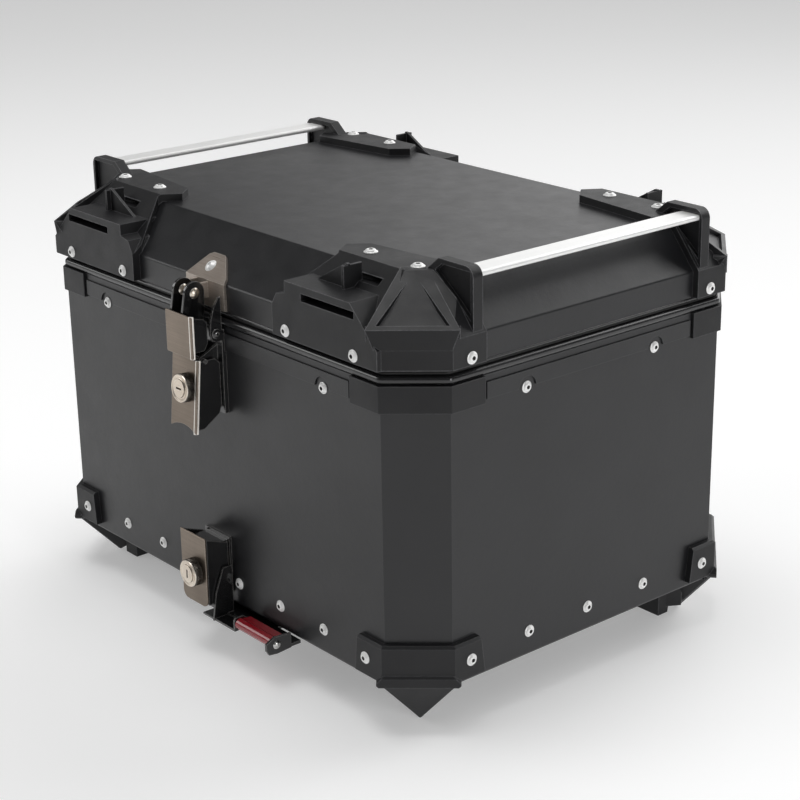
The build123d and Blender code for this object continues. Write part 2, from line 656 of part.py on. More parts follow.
# ---- front latch: base on the tub ----
LEVER_Y = -170.5
LEVER_Z = 193.5
BASE_FRONT = -WALL_Y - 3.3
CHEEK_IN = 15.9
CHEEK_T = 1.8
with BuildPart() as latch_base:
    box_between((LATCH_X - 19.5, BASE_FRONT, 154), (LATCH_X + 17.7, -WALL_Y, 214))
    box_between((-60, -WALL_Y - STRIP_T, STRIP_LOW - 1), (60, 0, 215), mode=Mode.SUBTRACT)
    cheek = [
        (BASE_FRONT + 0.4, 237),
        (BASE_FRONT - 1.2, 236.5),
        (-163.5, 231),
        (-166.5, 222),
        (-167.5, 212),
        (-166.0, 207.5),
        (-163.0, 206),
        (BASE_FRONT + 0.4, 206),
    ]
    for start in (LATCH_X - CHEEK_IN - CHEEK_T, LATCH_X + CHEEK_IN):
        add(side_plate(cheek, start, CHEEK_T))
    arm = [(BASE_FRONT + 1, 184), (BASE_FRONT + 1, 203), (LEVER_Y, LEVER_Z + 3.2), (LEVER_Y, LEVER_Z - 3.2)]
    for start in (LATCH_X - 12, LATCH_X + 10):
        add(side_plate(arm, start, 2.0))
        add(cross_rod(3.2, start, 2.0, LEVER_Y, LEVER_Z))
    add(cross_rod(PIN_R, -60, 120, LEVER_Y, LEVER_Z), mode=Mode.SUBTRACT)
finish(latch_base, "latch_base")
single(cross_rod(PIN_R, LATCH_X - 14.5, 29, LEVER_Y, LEVER_Z), "upper_lever_pin")
boss = [(side * (CHEEK_IN + CHEEK_T), (side, 0, 0)) for side in (-1, 1)]
heads("cheek_pins", [((LATCH_X + x, -162.6, 212.0), way) for x, way in boss], 3.4, 2.0, 1.2)

# ---- locking levers: a plate over a channel, with a cylinder lock ----
LEVER_HALF = 15.0
LOCK_R = 10.0
LOCK_OUT = 6.2
SLEEVE_R = 7.5
PLUG_R = 6.2
SLEEVE_IN = 12.0
CAM_LEN = 8.0


def lever_parts(stem, plane, outline, web_outline, flank, pivot, lock_at, key_slot):
    """A lever's front plate, channel, lock ring and turning key plug."""
    with BuildPart() as plate:
        with BuildSketch(plane):
            add(outline)
            with Locations(lock_at):
                Circle(SLEEVE_R, mode=Mode.SUBTRACT)
        extrude(amount=-PLATE_T)
    finish(plate, f"{stem}_lever_plate")

    with BuildPart() as channel:
        with BuildSketch(plane.offset(-PLATE_T)):
            add(web_outline)
        extrude(amount=-WEB_T)
        for start in (plane.origin.X - LEVER_HALF, plane.origin.X + LEVER_HALF - WEB_T):
            add(side_plate(flank, start, WEB_T))
        with BuildSketch(plane.offset(-PLATE_T)):
            with Locations(lock_at):
                Circle(SLEEVE_R)
        extrude(amount=-SLEEVE_IN, mode=Mode.SUBTRACT)
        add(cross_rod(PIN_R + RUN, -60, 120, *pivot), mode=Mode.SUBTRACT)
    finish(channel, f"{stem}_lever_channel")

    with BuildPart() as lock_ring:
        with BuildSketch(plane):
            with Locations(lock_at):
                Circle(LOCK_R)
        extrude(amount=LOCK_OUT)
        chamfer(lock_ring.faces().sort_by(Axis.Y)[0].edges(), length=0.8)
        with BuildSketch(plane.offset(-SLEEVE_IN)):
            with Locations(lock_at):
                Circle(SLEEVE_R)
        extrude(amount=SLEEVE_IN)
        with BuildSketch(plane.offset(-SLEEVE_IN)):
            with Locations(lock_at):
                Circle(PLUG_R + RUN)
        extrude(amount=SLEEVE_IN + LOCK_OUT, mode=Mode.SUBTRACT)
    finish(lock_ring, f"{stem}_lock_ring")

    with BuildPart() as plug:
        with BuildSketch(plane.offset(-SLEEVE_IN)):
            with Locations(lock_at):
                Circle(PLUG_R)
        extrude(amount=SLEEVE_IN + LOCK_OUT + 0.5)
        with BuildSketch(plane.offset(LOCK_OUT + 0.5)):
            with Locations(lock_at):
                Rectangle(*key_slot)
        extrude(amount=-3.0, mode=Mode.SUBTRACT)
        with BuildSketch(plane.offset(-SLEEVE_IN)):
            with Locations(lock_at):
                Circle(4.0)
            with Locations((lock_at[0] - CAM_LEN / 2, lock_at[1])):
                Rectangle(CAM_LEN, 6.0)
        extrude(amount=-2.5)
    finish(plug, f"{stem}_key_plug")


UPPER_TOP_Y = -177.0
UPPER_TOP_Z = 194.8
UPPER_DROP = 51.5
UPPER_LEAN = 4.6
lean = math.atan2(UPPER_LEAN, UPPER_DROP)
UPPER_LEN = math.hypot(UPPER_LEAN, UPPER_DROP)
upper_plane = Plane(
    origin=(LATCH_X, UPPER_TOP_Y, UPPER_TOP_Z),
    x_dir=(1, 0, 0),
    z_dir=(0, -math.cos(lean), math.sin(lean)),
)
with BuildSketch() as upper_outline:
    with BuildLine():
        Polyline((-LEVER_HALF, -UPPER_LEN), (-LEVER_HALF, 0), (LEVER_HALF, 0), (LEVER_HALF, -UPPER_LEN))
        ThreePointArc((LEVER_HALF, -UPPER_LEN), (0, -UPPER_LEN + 4), (-LEVER_HALF, -UPPER_LEN))
    make_face()
with BuildSketch() as upper_web:
    with Locations((0, -UPPER_LEN / 2 + 2)):
        Rectangle(2 * LEVER_HALF, UPPER_LEN - 6)
upper_flank = [(-175.2, 194.0), (-179.6, 146.0), (-174, 146), (-161, 154.5), (-159, 160), (-159, 190), (-163, 194.2)]
lever_parts(
    "upper",
    upper_plane,
    upper_outline.sketch,
    upper_web.sketch,
    upper_flank,
    (LEVER_Y, LEVER_Z),
    (3.0, -20.7),
    (6.4, 1.4),
)

# ---- lower lock: base, pin and lever, which tips out at the top ----
LOWER_FRONT = -178.0
LOWER_X = 1.5
LOWER_LOW = 11.5
LOWER_TOP = 64.5
LOWER_PIN_Y = -168.0
LOWER_PIN_Z = 20.0
lower_plane = Plane(origin=(LOWER_X, LOWER_FRONT, LOWER_TOP), x_dir=(1, 0, 0), z_dir=(0, -1, 0))
with BuildSketch() as lower_outline:
    with Locations((0, (LOWER_LOW - LOWER_TOP) / 2)):
        Rectangle(2 * LEVER_HALF, LOWER_TOP - LOWER_LOW)
    fillet(lower_outline.vertices().group_by(Axis.Y)[0], radius=6.0)
with BuildSketch() as lower_web:
    with Locations((0, (LOWER_LOW - LOWER_TOP) / 2)):
        Rectangle(2 * LEVER_HALF, LOWER_TOP - LOWER_LOW - 6)
lower_flank = [(-176.5, 63.5), (-158.7, 57), (-158.7, 27), (-163, 15), (-176.5, 13.5)]
lever_parts(
    "lower",
    lower_plane,
    lower_outline.sketch,
    lower_web.sketch,
    lower_flank,
    (LOWER_PIN_Y, LOWER_PIN_Z),
    (1.0, -28.6),
    (1.4, 6.4),
)
with BuildPart() as lock_base:
    box_between((LOWER_X - 14.5, -WALL_Y - 2, 18), (LOWER_X + 14.5, -WALL_Y, 60))
    arm = [(-WALL_Y - 1, 18), (-WALL_Y - 1, 30), (LOWER_PIN_Y, LOWER_PIN_Z + 3.2), (LOWER_PIN_Y, LOWER_PIN_Z - 3.2)]
    for start in (LOWER_X - 11, LOWER_X + 9):
        add(side_plate(arm, start, 2.0))
        add(cross_rod(3.2, start, 2.0, LOWER_PIN_Y, LOWER_PIN_Z))
    box_between((LOWER_X - 12, -171, 56), (LOWER_X + 12, -WALL_Y - 1, 57.5))
    add(cross_rod(PIN_R, -60, 120, LOWER_PIN_Y, LOWER_PIN_Z), mode=Mode.SUBTRACT)
finish(lock_base, "lower_lock_base")
single(cross_rod(PIN_R, LOWER_X - 14.5, 29, LOWER_PIN_Y, LOWER_PIN_Z), "lower_lever_pin")

# ---- release lever at the tub's lower front edge ----
REL_Y = -170.0
REL_Z = 7.5
EAR_X = 84.5
LIP_X = 41.0
with BuildPart() as release_bracket:
    box_between((-18, -163, 2), (EAR_X + 2, -150, 4.5))
    box_between((-18, -150, 2), (60, -BASE_HALF_Y, 4.5))
    box_between((4, -174, 2), (LIP_X + 1.5, -162, 3.5))
    lip = [(-174, 2), (-163, 2), (-163, 10), (-166, 12), (-173, 12), (-174, 10)]
    add(side_plate(lip, LIP_X, 1.5))
    add(side_plate([(-175, 2), (-157.5, 2), (-157.5, 40), (-165, 40), (-172, 22)], 17.3, 1.5))
    ear = [(-179, 5), (-177, 1.5), (-170, 0.6), (-158, 1.5), (-158, 12.5), (-172, 13.5), (-179, 10)]
    add(side_plate(ear, EAR_X, 2.0))
    add(cross_rod(PIN_R, 20, 120, REL_Y, REL_Z), mode=Mode.SUBTRACT)
finish(release_bracket, "release_bracket")
with BuildPart() as release_pin:
    add(cross_rod(PIN_R, LIP_X, EAR_X + 2 - LIP_X, REL_Y, REL_Z))
    add(Plane(origin=(EAR_X + 2, REL_Y, REL_Z), z_dir=(1, 0, 0)) * dome(3.2, 1.5))
finish(release_pin, "release_pin")
with BuildPart() as release_lever:
    paddle = [(REL_Y - 3, 5), (REL_Y, 4.0), (-160.5, 6.5), (-160.5, 10), (REL_Y, 11), (REL_Y - 3, 10)]
    add(side_plate(paddle, LIP_X + 2.0, EAR_X - LIP_X - 2.5))
    add(cross_rod(4.0, LIP_X + 2.0, EAR_X - LIP_X - 2.5, REL_Y, REL_Z))
    add(cross_rod(PIN_R + RUN, 20, 120, REL_Y, REL_Z), mode=Mode.SUBTRACT)
finish(release_lever, "release_lever")

os.makedirs("parts", exist_ok=True)
for name, solid in parts.items():
    export_step(solid, f"parts/{name}.step")
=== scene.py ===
import json
import math

import bmesh
import bpy
from mathutils import Matrix, Vector

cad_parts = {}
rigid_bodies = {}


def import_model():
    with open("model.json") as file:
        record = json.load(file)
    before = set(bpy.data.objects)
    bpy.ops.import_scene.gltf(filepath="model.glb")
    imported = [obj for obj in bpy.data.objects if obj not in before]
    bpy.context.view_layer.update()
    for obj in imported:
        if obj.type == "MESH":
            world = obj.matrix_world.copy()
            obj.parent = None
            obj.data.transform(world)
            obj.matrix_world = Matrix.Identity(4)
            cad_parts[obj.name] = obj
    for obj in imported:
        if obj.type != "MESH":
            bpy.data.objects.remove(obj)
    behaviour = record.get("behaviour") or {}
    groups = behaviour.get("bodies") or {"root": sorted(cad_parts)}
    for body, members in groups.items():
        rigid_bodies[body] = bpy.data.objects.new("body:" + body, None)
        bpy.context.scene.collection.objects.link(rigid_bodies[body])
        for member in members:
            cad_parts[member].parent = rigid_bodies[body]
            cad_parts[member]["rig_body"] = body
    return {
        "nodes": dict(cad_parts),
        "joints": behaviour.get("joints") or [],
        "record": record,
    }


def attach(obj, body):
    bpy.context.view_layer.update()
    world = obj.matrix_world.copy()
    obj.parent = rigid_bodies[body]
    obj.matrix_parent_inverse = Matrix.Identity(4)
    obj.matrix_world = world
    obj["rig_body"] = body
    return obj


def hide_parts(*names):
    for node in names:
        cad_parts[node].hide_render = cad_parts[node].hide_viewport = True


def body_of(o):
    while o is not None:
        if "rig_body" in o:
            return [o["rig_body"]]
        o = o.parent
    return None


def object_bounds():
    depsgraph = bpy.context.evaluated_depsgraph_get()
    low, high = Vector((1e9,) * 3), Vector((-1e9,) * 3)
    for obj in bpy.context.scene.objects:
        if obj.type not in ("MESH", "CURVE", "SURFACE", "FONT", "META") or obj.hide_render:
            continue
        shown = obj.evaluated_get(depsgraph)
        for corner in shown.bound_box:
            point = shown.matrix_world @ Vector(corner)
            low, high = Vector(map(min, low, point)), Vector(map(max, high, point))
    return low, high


# Looks for the motorcycle top case: finishes, softened edges, knurled locks, rivet
# heads, folded latch edges, a plain pale floor and soft light. Metres, in the frame's axes.

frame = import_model()
nodes = frame["nodes"]
cad_low, cad_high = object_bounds()
scene = bpy.context.scene
SLOT_OF = {row["node"]: row["material_slot"] for row in frame["record"]["subparts"]}

# ---------------------------------------------------------------- camera ----
CAM_AZ = math.radians(49.977)
CAM_EL = math.radians(19.963)
CAM_ROLL = math.radians(-0.876)
CAM_DIST = 1.4373
CAM_TARGET = Vector((0.002683, 0.016061, 0.13628))


def build_camera():
    back = Vector(
        (
            math.sin(CAM_AZ) * math.cos(CAM_EL),
            -math.cos(CAM_AZ) * math.cos(CAM_EL),
            math.sin(CAM_EL),
        )
    )
    flat_right = Vector((math.cos(CAM_AZ), math.sin(CAM_AZ), 0.0))
    flat_up = back.cross(flat_right)
    right = flat_right * math.cos(CAM_ROLL) + flat_up * math.sin(CAM_ROLL)
    up = -flat_right * math.sin(CAM_ROLL) + flat_up * math.cos(CAM_ROLL)
    data = bpy.data.cameras.new("camera")
    camera = bpy.data.objects.new("camera", data)
    scene.collection.objects.link(camera)
    turn = Matrix((right, up, back)).transposed().to_4x4()
    camera.matrix_world = Matrix.Translation(CAM_TARGET + back * CAM_DIST) @ turn
    data.sensor_width = 36.0
    data.lens = 86.21
    data.shift_x = -0.0051
    data.shift_y = 0.0066
    data.clip_start = 0.05
    data.clip_end = 30.0
    scene.camera = camera


# ------------------------------------------------------------ node helpers ----
def link(tree, source, target):
    tree.links.new(source, target)


def math_node(tree, kind, first, second=None, clamp=False):
    node = tree.nodes.new("ShaderNodeMath")
    node.operation = kind
    node.use_clamp = clamp
    for socket, value in zip(node.inputs, (first, second)):
        if value is None:
            continue
        if isinstance(value, (int, float)):
            socket.default_value = value
        else:
            link(tree, value, socket)
    return node.outputs["Value"]


def dot_node(tree, vector, direction):
    node = tree.nodes.new("ShaderNodeVectorMath")
    node.operation = "DOT_PRODUCT"
    link(tree, vector, node.inputs[0])
    node.inputs[1].default_value = direction
    return node.outputs["Value"]


def noise_node(tree, coords, scale, detail=3.0, rough=0.5):
    node = tree.nodes.new("ShaderNodeTexNoise")
    node.inputs["Scale"].default_value = scale
    node.inputs["Detail"].default_value = detail
    node.inputs["Roughness"].default_value = rough
    link(tree, coords, node.inputs["Vector"])
    return node.outputs["Fac"]


def range_node(tree, value, low, high, to_low, to_high):
    node = tree.nodes.new("ShaderNodeMapRange")
    node.inputs["From Min"].default_value = low
    node.inputs["From Max"].default_value = high
    node.inputs["To Min"].default_value = to_low
    node.inputs["To Max"].default_value = to_high
    link(tree, value, node.inputs["Value"])
    return node.outputs["Result"]


def smooth_node(tree, value, low, high, top):
    """0 below low, easing up to top above high."""
    node = tree.nodes.new("ShaderNodeMapRange")
    node.interpolation_type = "SMOOTHSTEP"
    node.inputs["From Min"].default_value = low
    node.inputs["From Max"].default_value = high
    node.inputs["To Max"].default_value = top
    link(tree, value, node.inputs["Value"])
    return node.outputs["Result"]


def mix_colour(tree, factor, first, second):
    node = tree.nodes.new("ShaderNodeMix")
    node.data_type = "RGBA"
    link(tree, factor, node.inputs["Factor"])
    for socket, value in zip((node.inputs[6], node.inputs[7]), (first, second)):
        if isinstance(value, tuple):
            socket.default_value = (*value, 1.0)
        else:
            link(tree, value, socket)
    return node.outputs[2]


def stretched(tree, coords, scale):
    node = tree.nodes.new("ShaderNodeMapping")
    node.inputs["Scale"].default_value = scale
    link(tree, coords, node.inputs["Vector"])
    return node.outputs["Vector"]


def edge_mask(tree, radius):
    """1 close to an edge of the piece, 0 on its flats."""
    bevel = tree.nodes.new("ShaderNodeBevel")
    bevel.samples = 6
    bevel.inputs["Radius"].default_value = radius
    geometry = tree.nodes.new("ShaderNodeNewGeometry")
    node = tree.nodes.new("ShaderNodeVectorMath")
    node.operation = "DOT_PRODUCT"
    link(tree, bevel.outputs["Normal"], node.inputs[0])
    link(tree, geometry.outputs["Normal"], node.inputs[1])
    return range_node(tree, node.outputs["Value"], 0.995, 0.86, 0.0, 1.0)


def bump_chain(tree, layers):
    """Stacked bumps; each layer is (height, distance in metres)."""
    normal = None
    for height, distance in layers:
        node = tree.nodes.new("ShaderNodeBump")
        node.inputs["Distance"].default_value = distance
        link(tree, height, node.inputs["Height"])
        if normal:
            link(tree, normal, node.inputs["Normal"])
        normal = node.outputs["Normal"]
    return normal


def new_material(name):
    material = bpy.data.materials.new(name)
    material.use_nodes = True
    tree = material.node_tree
    coords = tree.nodes.new("ShaderNodeTexCoord").outputs["Object"]
    return material, tree, tree.nodes["Principled BSDF"], coords


def coated(name, dark, light, rough, grain, peel, edge=None, edge_wear_and_highlight=0.5, coat=0.0, shine=0.5):
    """A painted, moulded or rubber surface: mottled colour, grain and lighter edges, part wear and part
    painted highlight.

    rough is the lowest and highest roughness; grain and peel are (scale, height)
    of the fine and the broad relief; edge is the colour of the lighter edges, part wear
    and part painted highlight."""
    material, tree, shader, coords = new_material(name)
    cloud = noise_node(tree, coords, 14.0, 4.0)
    speck = noise_node(tree, coords, 420.0, 2.0)
    colour = mix_colour(tree, range_node(tree, cloud, 0.35, 0.65, 0.0, 1.0), dark, light)
    rough_value = range_node(tree, noise_node(tree, coords, 55.0, 5.0, 0.6), 0.3, 0.7, *rough)
    # Lighter edges all round the piece: part wear, part a painted highlight.
    if edge:
        mask = edge_mask(tree, 0.0011)
        broken = range_node(tree, speck, 0.35, 0.6, 0.55, 1.0)
        worn_and_lit_edges = math_node(tree, "MULTIPLY", mask, broken, clamp=True)
        colour = mix_colour(tree, math_node(tree, "MULTIPLY", worn_and_lit_edges, edge_wear_and_highlight), colour, edge)
    link(tree, colour, shader.inputs["Base Color"])
    link(tree, rough_value, shader.inputs["Roughness"])
    fine = noise_node(tree, coords, grain[0], 2.0, 0.6)
    broad = noise_node(tree, coords, peel[0], 2.0)
    link(tree, bump_chain(tree, [(broad, peel[1]), (fine, grain[1])]), shader.inputs["Normal"])
    shader.inputs["Specular IOR Level"].default_value = shine
    shader.inputs["Coat Weight"].default_value = coat
    shader.inputs["Coat Roughness"].default_value = 0.12
    return material


def metal(name, dark, light, rough, brush, height, edge, metallic=1.0):
    """Brushed or turned metal: fine streaks along one axis and brighter edges, a painted highlight."""
    material, tree, shader, coords = new_material(name)
    streak = noise_node(tree, stretched(tree, coords, brush), 1.0, 3.0, 0.65)
    cloud = noise_node(tree, coords, 40.0, 3.0)
    tone = math_node(tree, "MULTIPLY", streak, cloud)
    colour = mix_colour(tree, range_node(tree, tone, 0.15, 0.38, 0.0, 1.0), dark, light)
    # Brighter edges all round the piece: a painted highlight.
    mask = edge_mask(tree, 0.0007)
    colour = mix_colour(tree, math_node(tree, "MULTIPLY", mask, 0.7), colour, edge)
    link(tree, colour, shader.inputs["Base Color"])
    shader.inputs["Metallic"].default_value = metallic
    link(tree, range_node(tree, streak, 0.3, 0.7, *rough), shader.inputs["Roughness"])
    fine = noise_node(tree, coords, 2600.0, 2.0)
    link(tree, bump_chain(tree, [(streak, height), (fine, height * 0.5)]), shader.inputs["Normal"])
    return material


def ribbed_mat():
    material, tree, shader, coords = new_material("mat_black")
    wave = tree.nodes.new("ShaderNodeTexWave")
    wave.bands_direction = "X"
    wave.inputs["Scale"].default_value = 60.0
    link(tree, coords, wave.inputs["Vector"])
    grain = noise_node(tree, coords, 900.0, 2.0)
    tone = range_node(tree, noise_node(tree, coords, 25.0, 4.0), 0.3, 0.7, 0.0, 1.0)
    colour = mix_colour(tree, tone, (0.018, 0.018, 0.019), (0.035, 0.035, 0.036))
    link(tree, colour, shader.inputs["Base Color"])
    link(tree, range_node(tree, grain, 0.3, 0.7, 0.7, 0.9), shader.inputs["Roughness"])
    link(tree, bump_chain(tree, [(wave.outputs["Fac"], 0.0006), (grain, 0.0001)]), shader.inputs["Normal"])
    return material


def build_finishes():
    black, grey = (0.0085, 0.0085, 0.0095), (0.0135, 0.0135, 0.0148)
    return {
        "shell_black": coated(
            "shell_black", (0.0090, 0.0091, 0.0103), (0.0128, 0.0130, 0.0146), (0.32, 0.40),
            (1700.0, 0.00005), (260.0, 0.00006), (0.10, 0.10, 0.105), 0.35, 0.0, 0.5),
        "guard_black": coated(
            "guard_black", black, grey, (0.40, 0.52),
            (2100.0, 0.00008), (420.0, 0.00005), (0.16, 0.16, 0.168), 0.8, 0.0, 0.35),
        "rim_black": coated(
            "rim_black", (0.012, 0.012, 0.013), (0.02, 0.02, 0.021), (0.2, 0.28),
            (1500.0, 0.00002), (200.0, 0.00003), (0.09, 0.09, 0.095), 0.6, 0.3),
        "seal_rubber": coated(
            "seal_rubber", (0.008, 0.008, 0.008), (0.014, 0.014, 0.014), (0.5, 0.65),
            (1300.0, 0.00006), (180.0, 0.00006)),
        "mat_black": ribbed_mat(),
        "rivet_steel": metal(
            "rivet_steel", (0.88, 0.88, 0.87), (0.97, 0.97, 0.96), (0.26, 0.38),
            (900.0, 900.0, 900.0), 0.00002, (1.0, 1.0, 0.99), 0.15),
        "rail_silver": metal(
            "rail_silver", (0.90, 0.90, 0.89), (0.97, 0.97, 0.96), (0.30, 0.42),
            (1500.0, 6.0, 1500.0), 0.00002, (0.98, 0.98, 0.98), 0.35),
        "latch_bronze": metal(
            "latch_bronze", (0.175, 0.143, 0.115), (0.238, 0.197, 0.160), (0.27, 0.40),
            (30.0, 30.0, 1900.0), 0.00002, (0.80, 0.75, 0.68)),
        # A near-white copy of the latch bronze, for the folds: a painted highlight.
        "latch_painted_highlight": metal(
            "latch_painted_highlight", (0.88, 0.83, 0.76), (0.96, 0.92, 0.86), (0.30, 0.42),
            (30.0, 30.0, 1900.0), 0.00002, (1.0, 0.97, 0.93), 0.3),
        "hasp_bronze": metal(
            "hasp_bronze", (0.34, 0.29, 0.25), (0.44, 0.38, 0.33), (0.27, 0.40),
            (30.0, 30.0, 1900.0), 0.00002, (0.80, 0.75, 0.68), 0.5),
        "latch_black": coated(
            "latch_black", (0.006, 0.006, 0.0065), (0.012, 0.012, 0.0125), (0.10, 0.18),
            (1200.0, 0.00001), (150.0, 0.00005), (0.30, 0.29, 0.28), 0.6, 0.6),
        "lock_dark": metal(
            "lock_dark", (0.045, 0.04, 0.036), (0.09, 0.08, 0.07), (0.25, 0.4),
            (700.0, 700.0, 700.0), 0.00002, (0.35, 0.32, 0.28)),
        "lock_steel": metal(
            "lock_steel", (0.62, 0.54, 0.45), (0.86, 0.78, 0.67), (0.28, 0.40),
            (1500.0, 60.0, 1500.0), 0.00002, (0.95, 0.92, 0.88)),
        "pin_steel": metal(
            "pin_steel", (0.42, 0.42, 0.41), (0.62, 0.62, 0.6), (0.2, 0.3),
            (20.0, 1500.0, 1500.0), 0.00002, (0.85, 0.85, 0.84)),
        "lever_red": coated(
            "lever_red", (0.20, 0.006, 0.012), (0.30, 0.010, 0.018), (0.15, 0.22),
            (900.0, 0.00002), (150.0, 0.00004), (0.55, 0.08, 0.09), 0.5, 0.5),
    }


# ------------------------------------------------------- softened CAD nodes ----
SOFT_EDGE = {
    "guard_": 0.0007,
    "foot_front": 0.0008,
    "foot_rear": 0.0008,
    "collar_": 0.0004,
    "strip_front": 0.0003,
    "strip_rear": 0.0003,
    "strip_left": 0.0003,
    "strip_right": 0.0003,
    "base_plate": 0.0006,
    "cover_plate": 0.0006,
    "cover_channel": 0.0004,
    "hasp_plate": 0.0005,
    "latch_base": 0.0004,
    "upper_lever_plate": 0.0006,
    "upper_lever_channel": 0.0004,
    "lower_lever_plate": 0.0006,
    "lower_lever_channel": 0.0004,
    "release_lever": 0.0008,
    "release_bracket": 0.0004,
}
HEADS = ("guard_rivets", "guard_screws", "foot_rivets")


def soften(node, width):
    """Real rounded edges on a CAD node, by modifiers that leave its flats in place."""
    weld = node.modifiers.new("weld", "WELD")
    weld.merge_threshold = 0.000002
    flat = node.modifiers.new("flat", "DECIMATE")
    flat.decimate_type = "DISSOLVE"
    flat.angle_limit = math.radians(0.6)
    bevel = node.modifiers.new("round", "BEVEL")
    bevel.width = width
    bevel.segments = 2
    bevel.limit_method = "ANGLE"
    bevel.angle_limit = math.radians(28.0)
    bevel.use_clamp_overlap = True
    bevel.miter_outer = "MITER_ARC"
    shade = node.modifiers.new("shade", "WEIGHTED_NORMAL")
    shade.keep_sharp = False
    shade.weight = 80


OWN_FINISH = {"hasp_plate": "hasp_bronze"}


def dress_nodes(finishes):
    for name, node in nodes.items():
        node.data.materials.clear()
        node.data.materials.append(finishes[OWN_FINISH.get(name, SLOT_OF[name])])
        for start, width in SOFT_EDGE.items():
            if name.startswith(start) and name not in HEADS:
                soften(node, width)
                break


# ------------------------------------------------------------- new pieces ----
def mesh_object(name, bm, material, body):
    mesh = bpy.data.meshes.new(name)
    bmesh.ops.recalc_face_normals(bm, faces=bm.faces)
    bm.to_mesh(mesh)
    bm.free()
    mesh.materials.append(material)
    for face in mesh.polygons:
        face.use_smooth = True
    piece = bpy.data.objects.new(name, mesh)
    scene.collection.objects.link(piece)
    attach(piece, body)
    return piece


SPLIT_ANGLE = math.radians(40.0)
LOCK_SPLIT_ANGLE = math.radians(38.0)


def split_edges(piece, angle):
    """Keep the sharp edges of a smooth-shaded piece sharp."""
    modifier = piece.modifiers.new("edges", "EDGE_SPLIT")
    modifier.split_angle = angle


def turned(profile, steps, ripple=None):
    """A closed ring about Z over (radius, height) points; ripple changes a radius."""
    bm = bmesh.new()
    rings = []
    for step in range(steps):
        angle = 2 * math.pi * step / steps
        ring = []
        for index, (radius, height) in enumerate(profile):
            reach = radius + (ripple(index, step) if ripple else 0.0)
            ring.append(bm.verts.new((reach * math.cos(angle), reach * math.sin(angle), height)))
        rings.append(ring)
    for step in range(steps):
        here, there = rings[step], rings[(step + 1) % steps]
        for index in range(len(profile)):
            after = (index + 1) % len(profile)
            bm.faces.new((here[index], here[after], there[after], there[index]))
    return bm


LOCK_R = 0.0100
LOCK_OUT = 0.0062
COLLAR_OUT = 0.0050
PLUG_R = 0.00635
KNURLS = 60


def lock_ring(stem, body, joint, finishes):
    """The knurled collar and bright face that stand round a key plug."""
    collar = [
        (0.0075, -0.0115),
        (0.0075, 0.0),
        (LOCK_R - 0.0003, 0.0),
        (LOCK_R, 0.0003),
        (LOCK_R, 0.0016),
        (LOCK_R, COLLAR_OUT - 0.0004),
        (LOCK_R - 0.0003, COLLAR_OUT - 0.0001),
        (LOCK_R - 0.0014, COLLAR_OUT),
        (PLUG_R, COLLAR_OUT),
        (PLUG_R, -0.0115),
    ]
    face = [
        (PLUG_R, COLLAR_OUT),
        (LOCK_R - 0.0012, COLLAR_OUT),
        (LOCK_R - 0.0005, COLLAR_OUT + 0.0002),
        (LOCK_R - 0.0002, COLLAR_OUT + 0.0005),
        (LOCK_R - 0.0005, LOCK_OUT - 0.0001),
        (LOCK_R - 0.0010, LOCK_OUT),
        (LOCK_R - 0.0018, LOCK_OUT - 0.0003),
        (LOCK_R - 0.0024, LOCK_OUT - 0.0006),
        (PLUG_R + 0.0006, LOCK_OUT - 0.0006),
        (PLUG_R + 0.0002, LOCK_OUT - 0.0003),
        (PLUG_R, LOCK_OUT - 0.0004),
    ]

    def knurl(index, step):
        return -0.0003 if index in (4, 5) and step % 4 >= 2 else 0.0

    place = Vector(joint["pos_m"])
    out = Vector(joint["axis"]).normalized()
    turn = out.to_track_quat("Z", "Y").to_matrix().to_4x4()
    for part, profile, ripple, slot in (
        ("knurl", collar, knurl, "lock_dark"),
        ("face", face, None, "lock_steel"),
    ):
        bm = turned(profile, KNURLS * 4, ripple)
        bm.transform(Matrix.Translation(place) @ turn)
        piece = mesh_object(f"{stem}_lock_{part}", bm, finishes[slot], body)
        split_edges(piece, LOCK_SPLIT_ANGLE)
        if part == "knurl":
            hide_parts(f"{stem}_lock_ring")


def build_locks(finishes):
    joints = {joint["name"]: joint for joint in frame["joints"]}
    lock_ring("upper", "upper_lever", joints["upper_key_turn"], finishes)
    lock_ring("lower", "lower_lever", joints["lower_key_turn"], finishes)


HEAD_SHARE = 0.9  # how much of the CAD head's width the flange takes
HEAD_STEPS = 36  # a multiple of six, so that the socket's corners are sharp
HEX_FIT = 1.08
# share of the radius, share of the height, and whether the ring is hexagonal
HEAD_RINGS = (
    (1.00, 0.02, False),
    (1.00, 0.22, False),
    (0.96, 0.30, False),
    (0.84, 0.34, False),
    (0.80, 0.42, False),
    (0.74, 0.72, False),
    (0.62, 0.92, False),
    (0.50, 1.00, False),
    (0.37, 0.98, True),
    (0.34, 0.92, True),
    (0.33, 0.30, True),
)
HEAD_NODES = ("guard_rivets", "tub_rivets", "foot_rivets", "strip_rivets", "guard_screws")


def islands(node):
    """The low and high corners of each separate solid in a node."""
    bm = bmesh.new()
    bm.from_mesh(node.data)
    bm.transform(node.matrix_world)
    bmesh.ops.remove_doubles(bm, verts=bm.verts, dist=0.000001)
    found, seen = [], set()
    for start in bm.verts:
        if start in seen:
            continue
        seen.add(start)
        group, waiting = [], [start]
        while waiting:
            vert = waiting.pop()
            group.append(vert.co.copy())
            for edge in vert.link_edges:
                other = edge.other_vert(vert)
                if other not in seen:
                    seen.add(other)
                    waiting.append(other)
        low = Vector([min(point[axis] for point in group) for axis in range(3)])
        high = Vector([max(point[axis] for point in group) for axis in range(3)])
        found.append((low, high))
    bm.free()
    return found


